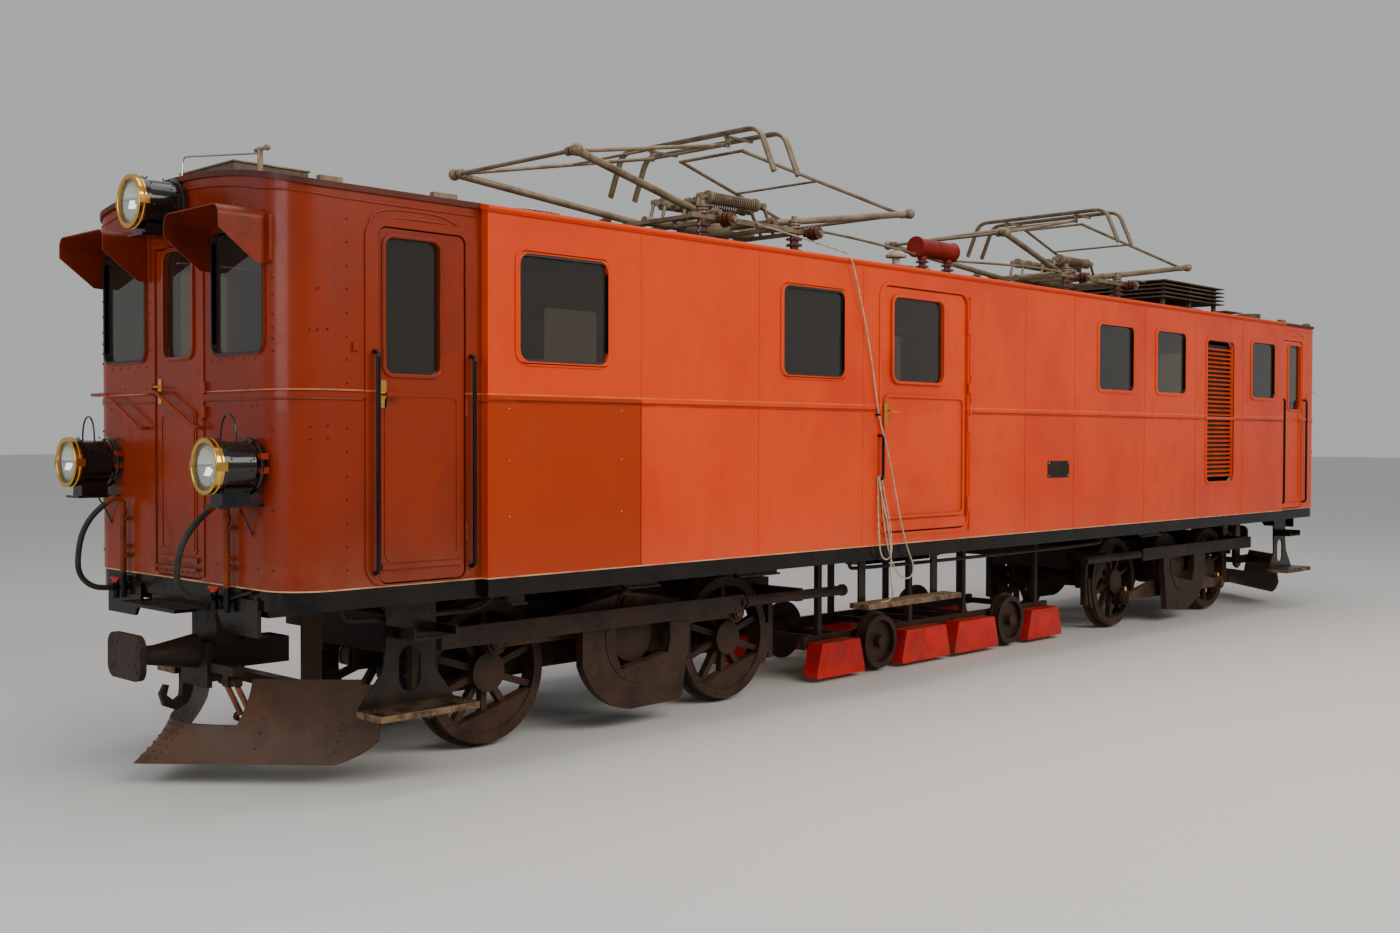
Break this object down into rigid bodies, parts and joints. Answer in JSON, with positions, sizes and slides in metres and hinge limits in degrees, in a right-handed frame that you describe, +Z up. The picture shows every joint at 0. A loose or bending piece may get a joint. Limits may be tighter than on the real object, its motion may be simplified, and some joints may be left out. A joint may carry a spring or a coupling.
{
  "type": "electric locomotive",
  "caption": "Metre-gauge rod-driven electric locomotive with a cab at each end, swivelling bogies, folding roof collectors, snow blades and track brakes.",
  "frame": {"origin": "centre of the body's outline, at the level of the wheel flanges' lowest points", "axes": "+X along the body towards the rear cab, +Y towards the far side of the picture, +Z up"},
  "size_m": [13.83, 2.5185, 4.084],
  "materials": {
    "body_paint": "satin",
    "roof_paint": "matte",
    "black_steel": "satin",
    "gear_iron": "matte",
    "wheel_iron": "matte",
    "rod_steel": "matte",
    "shoe_red": "satin",
    "plough_steel": "matte",
    "lamp_black": "satin",
    "rim_brass": "polished",
    "lamp_glass": "polished",
    "window_glass": "polished",
    "collector_steel": "matte",
    "porcelain": "polished",
    "resistor_steel": "matte",
    "vent_aluminium": "satin",
    "grille_paint": "matte",
    "visor_steel": "satin",
    "inner_paint": "satin",
    "machine_grey": "satin",
    "tank_red": "satin",
    "hose_rubber": "matte",
    "rope_fibre": "matte"
  },
  "bodies": {
    "locomotive": {"underframe": "black_steel", "side_wall_near": "body_paint", "side_wall_far": "body_paint", "cab_shell_front": "body_paint", "cab_shell_rear": "body_paint", "roof": "roof_paint", "machine_room": "machine_grey", "floor": "inner_paint", "skirts": "black_steel", "window_glass": "window_glass", "louvre_grilles": "grille_paint", "sun_visors": "visor_steel", "headlights": "lamp_black", "headlight_rims": "rim_brass", "headlight_glass": "lamp_glass", "handrails": "black_steel", "footsteps": "black_steel", "ploughs": "plough_steel", "draw_gear": "gear_iron", "air_pipes": "visor_steel", "brake_carriage": "gear_iron", "track_shoes": "shoe_red", "pantograph_bases": "collector_steel", "roof_insulators": "porcelain", "roof_tank": "tank_red", "roof_boxes": "resistor_steel", "brake_hoses": "hose_rubber", "pull_rope": "rope_fibre"},
    "bogie_front": {"bogie_front": "gear_iron"},
    "wheelset_outer_front": {"wheelset_outer_front": "wheel_iron"},
    "wheelset_inner_front": {"wheelset_inner_front": "wheel_iron"},
    "jackshaft_front": {"jackshaft_front": "wheel_iron"},
    "coupling_rod_near_front": {"coupling_rod_near_front": "rod_steel"},
    "coupling_rod_far_front": {"coupling_rod_far_front": "rod_steel"},
    "small_wheelset_front": {"small_wheelset_front": "wheel_iron"},
    "lower_arm_outer_front": {"lower_arm_outer_front": "collector_steel"},
    "lower_arm_inner_front": {"lower_arm_inner_front": "collector_steel"},
    "upper_arm_outer_front": {"upper_arm_outer_front": "collector_steel"},
    "upper_arm_inner_front": {"upper_arm_inner_front": "collector_steel"},
    "contact_bow_front": {"contact_bow_front": "collector_steel"},
    "bogie_rear": {"bogie_rear": "gear_iron"},
    "wheelset_outer_rear": {"wheelset_outer_rear": "wheel_iron"},
    "wheelset_inner_rear": {"wheelset_inner_rear": "wheel_iron"},
    "jackshaft_rear": {"jackshaft_rear": "wheel_iron"},
    "coupling_rod_near_rear": {"coupling_rod_near_rear": "rod_steel"},
    "coupling_rod_far_rear": {"coupling_rod_far_rear": "rod_steel"},
    "small_wheelset_rear": {"small_wheelset_rear": "wheel_iron"},
    "lower_arm_outer_rear": {"lower_arm_outer_rear": "collector_steel"},
    "lower_arm_inner_rear": {"lower_arm_inner_rear": "collector_steel"},
    "upper_arm_outer_rear": {"upper_arm_outer_rear": "collector_steel"},
    "upper_arm_inner_rear": {"upper_arm_inner_rear": "collector_steel"},
    "contact_bow_rear": {"contact_bow_rear": "collector_steel"},
    "cab_door_front_near": {"cab_door_front_near": "body_paint"},
    "cab_door_front_far": {"cab_door_front_far": "body_paint"},
    "cab_door_rear_near": {"cab_door_rear_near": "body_paint"},
    "cab_door_rear_far": {"cab_door_rear_far": "body_paint"},
    "side_door_near": {"side_door_near": "body_paint"},
    "side_door_far": {"side_door_far": "body_paint"},
    "gangway_door_front": {"gangway_door_front": "body_paint"},
    "gangway_door_rear": {"gangway_door_rear": "body_paint"}
  },
  "joints": [
    {"name": "bogie_front_swivel", "type": "hinge", "parent": "locomotive", "child": "bogie_front", "pos_m": [-3.888, 0, 0.8], "axis": [0, 0, 1], "range_deg": [-4.5, 4.5]},
    {"name": "wheelset_outer_front_spin", "type": "hinge", "parent": "bogie_front", "child": "wheelset_outer_front", "pos_m": [-4.948, 0, 0.458], "axis": [0, 1, 0], "continuous": true},
    {"name": "wheelset_inner_front_spin", "type": "hinge", "parent": "bogie_front", "child": "wheelset_inner_front", "pos_m": [-2.828, 0, 0.458], "axis": [0, 1, 0], "continuous": true},
    {"name": "jackshaft_front_spin", "type": "hinge", "parent": "bogie_front", "child": "jackshaft_front", "pos_m": [-3.888, 0, 0.603], "axis": [0, 1, 0], "continuous": true},
    {"name": "coupling_rod_near_front_turn", "type": "hinge", "parent": "wheelset_outer_front", "child": "coupling_rod_near_front", "pos_m": [-4.948, -0.6525, 0.645], "axis": [0, 1, 0], "continuous": true},
    {"name": "coupling_rod_far_front_turn", "type": "hinge", "parent": "wheelset_outer_front", "child": "coupling_rod_far_front", "pos_m": [-5.135, 0.6525, 0.458], "axis": [0, 1, 0], "continuous": true},
    {"name": "small_wheelset_front_spin", "type": "hinge", "parent": "locomotive", "child": "small_wheelset_front", "pos_m": [-0.97, 0, 0.242], "axis": [0, 1, 0], "continuous": true},
    {"name": "lower_arm_outer_front_raise", "type": "hinge", "parent": "locomotive", "child": "lower_arm_outer_front", "pos_m": [-2.8, 0, 3.47], "axis": [0, 1, 0], "range_deg": [0, 40]},
    {"name": "lower_arm_inner_front_raise", "type": "hinge", "parent": "locomotive", "child": "lower_arm_inner_front", "pos_m": [-2.2, 0, 3.47], "axis": [0, -1, 0], "range_deg": [0, 40]},
    {"name": "upper_arm_outer_front_fold", "type": "hinge", "parent": "lower_arm_outer_front", "child": "upper_arm_outer_front", "pos_m": [-4.28, 0, 3.68], "axis": [0, -1, 0], "range_deg": [0, 76]},
    {"name": "upper_arm_inner_front_fold", "type": "hinge", "parent": "lower_arm_inner_front", "child": "upper_arm_inner_front", "pos_m": [-0.72, 0, 3.68], "axis": [0, 1, 0], "range_deg": [0, 76]},
    {"name": "contact_bow_front_level", "type": "hinge", "parent": "upper_arm_outer_front", "child": "contact_bow_front", "pos_m": [-2.62, 0, 3.99], "axis": [0, 1, 0], "range_deg": [0, 36]},
    {"name": "bogie_rear_swivel", "type": "hinge", "parent": "locomotive", "child": "bogie_rear", "pos_m": [3.888, 0, 0.8], "axis": [0, 0, 1], "range_deg": [-4.5, 4.5]},
    {"name": "wheelset_outer_rear_spin", "type": "hinge", "parent": "bogie_rear", "child": "wheelset_outer_rear", "pos_m": [4.948, 0, 0.458], "axis": [0, 1, 0], "continuous": true},
    {"name": "wheelset_inner_rear_spin", "type": "hinge", "parent": "bogie_rear", "child": "wheelset_inner_rear", "pos_m": [2.828, 0, 0.458], "axis": [0, 1, 0], "continuous": true},
    {"name": "jackshaft_rear_spin", "type": "hinge", "parent": "bogie_rear", "child": "jackshaft_rear", "pos_m": [3.888, 0, 0.603], "axis": [0, 1, 0], "continuous": true},
    {"name": "coupling_rod_near_rear_turn", "type": "hinge", "parent": "wheelset_outer_rear", "child": "coupling_rod_near_rear", "pos_m": [5.0415, -0.6525, 0.29605], "axis": [0, 1, 0], "continuous": true},
    {"name": "coupling_rod_far_rear_turn", "type": "hinge", "parent": "wheelset_outer_rear", "child": "coupling_rod_far_rear", "pos_m": [5.10995, 0.6525, 0.5515], "axis": [0, 1, 0], "continuous": true},
    {"name": "small_wheelset_rear_spin", "type": "hinge", "parent": "locomotive", "child": "small_wheelset_rear", "pos_m": [0.97, 0, 0.242], "axis": [0, 1, 0], "continuous": true},
    {"name": "lower_arm_outer_rear_raise", "type": "hinge", "parent": "locomotive", "child": "lower_arm_outer_rear", "pos_m": [2.2, 0, 3.47], "axis": [0, 1, 0], "range_deg": [0, 40]},
    {"name": "lower_arm_inner_rear_raise", "type": "hinge", "parent": "locomotive", "child": "lower_arm_inner_rear", "pos_m": [2.8, 0, 3.47], "axis": [0, -1, 0], "range_deg": [0, 40]},
    {"name": "upper_arm_outer_rear_fold", "type": "hinge", "parent": "lower_arm_outer_rear", "child": "upper_arm_outer_rear", "pos_m": [0.72, 0, 3.68], "axis": [0, -1, 0], "range_deg": [0, 76]},
    {"name": "upper_arm_inner_rear_fold", "type": "hinge", "parent": "lower_arm_inner_rear", "child": "upper_arm_inner_rear", "pos_m": [4.28, 0, 3.68], "axis": [0, 1, 0], "range_deg": [0, 76]},
    {"name": "contact_bow_rear_level", "type": "hinge", "parent": "upper_arm_outer_rear", "child": "contact_bow_rear", "pos_m": [2.38, 0, 3.99], "axis": [0, 1, 0], "range_deg": [0, 36]},
    {"name": "cab_door_front_near_swing", "type": "hinge", "parent": "locomotive", "child": "cab_door_front_near", "pos_m": [-5.538, -1.095, 2], "axis": [0, 0, -1], "range_deg": [0, 85]},
    {"name": "cab_door_front_far_swing", "type": "hinge", "parent": "locomotive", "child": "cab_door_front_far", "pos_m": [-5.538, 1.095, 2], "axis": [0, 0, 1], "range_deg": [0, 85]},
    {"name": "cab_door_rear_near_swing", "type": "hinge", "parent": "locomotive", "child": "cab_door_rear_near", "pos_m": [5.538, -1.095, 2], "axis": [0, 0, 1], "range_deg": [0, 85]},
    {"name": "cab_door_rear_far_swing", "type": "hinge", "parent": "locomotive", "child": "cab_door_rear_far", "pos_m": [5.538, 1.095, 2], "axis": [0, 0, -1], "range_deg": [0, 85]},
    {"name": "side_door_near_swing", "type": "hinge", "parent": "locomotive", "child": "side_door_near", "pos_m": [-0.743, -1.141, 2], "axis": [0, 0, -1], "range_deg": [0, 85]},
    {"name": "side_door_far_swing", "type": "hinge", "parent": "locomotive", "child": "side_door_far", "pos_m": [0.743, 1.141, 2], "axis": [0, 0, -1], "range_deg": [0, 85]},
    {"name": "gangway_door_front_swing", "type": "hinge", "parent": "locomotive", "child": "gangway_door_front", "pos_m": [-6.555, 0.254, 2], "axis": [0, 0, 1], "range_deg": [0, 85]},
    {"name": "gangway_door_rear_swing", "type": "hinge", "parent": "locomotive", "child": "gangway_door_rear", "pos_m": [6.555, -0.254, 2], "axis": [0, 0, 1], "range_deg": [0, 85]}
  ],
  "couplings": [
    {"joint": "wheelset_inner_front_spin", "follows": "wheelset_outer_front_spin", "ratio": 1},
    {"joint": "jackshaft_front_spin", "follows": "wheelset_outer_front_spin", "ratio": 1},
    {"joint": "coupling_rod_near_front_turn", "follows": "wheelset_outer_front_spin", "ratio": -1},
    {"joint": "coupling_rod_far_front_turn", "follows": "wheelset_outer_front_spin", "ratio": -1},
    {"joint": "lower_arm_inner_front_raise", "follows": "lower_arm_outer_front_raise", "ratio": 1},
    {"joint": "upper_arm_outer_front_fold", "follows": "lower_arm_outer_front_raise", "ratio": 1.867},
    {"joint": "upper_arm_inner_front_fold", "follows": "lower_arm_outer_front_raise", "ratio": 1.867},
    {"joint": "contact_bow_front_level", "follows": "lower_arm_outer_front_raise", "ratio": 0.867},
    {"joint": "wheelset_inner_rear_spin", "follows": "wheelset_outer_rear_spin", "ratio": 1},
    {"joint": "jackshaft_rear_spin", "follows": "wheelset_outer_rear_spin", "ratio": 1},
    {"joint": "coupling_rod_near_rear_turn", "follows": "wheelset_outer_rear_spin", "ratio": -1},
    {"joint": "coupling_rod_far_rear_turn", "follows": "wheelset_outer_rear_spin", "ratio": -1},
    {"joint": "lower_arm_inner_rear_raise", "follows": "lower_arm_outer_rear_raise", "ratio": 1},
    {"joint": "upper_arm_outer_rear_fold", "follows": "lower_arm_outer_rear_raise", "ratio": 1.867},
    {"joint": "upper_arm_inner_rear_fold", "follows": "lower_arm_outer_rear_raise", "ratio": 1.867},
    {"joint": "contact_bow_rear_level", "follows": "lower_arm_outer_rear_raise", "ratio": 0.867}
  ]
}
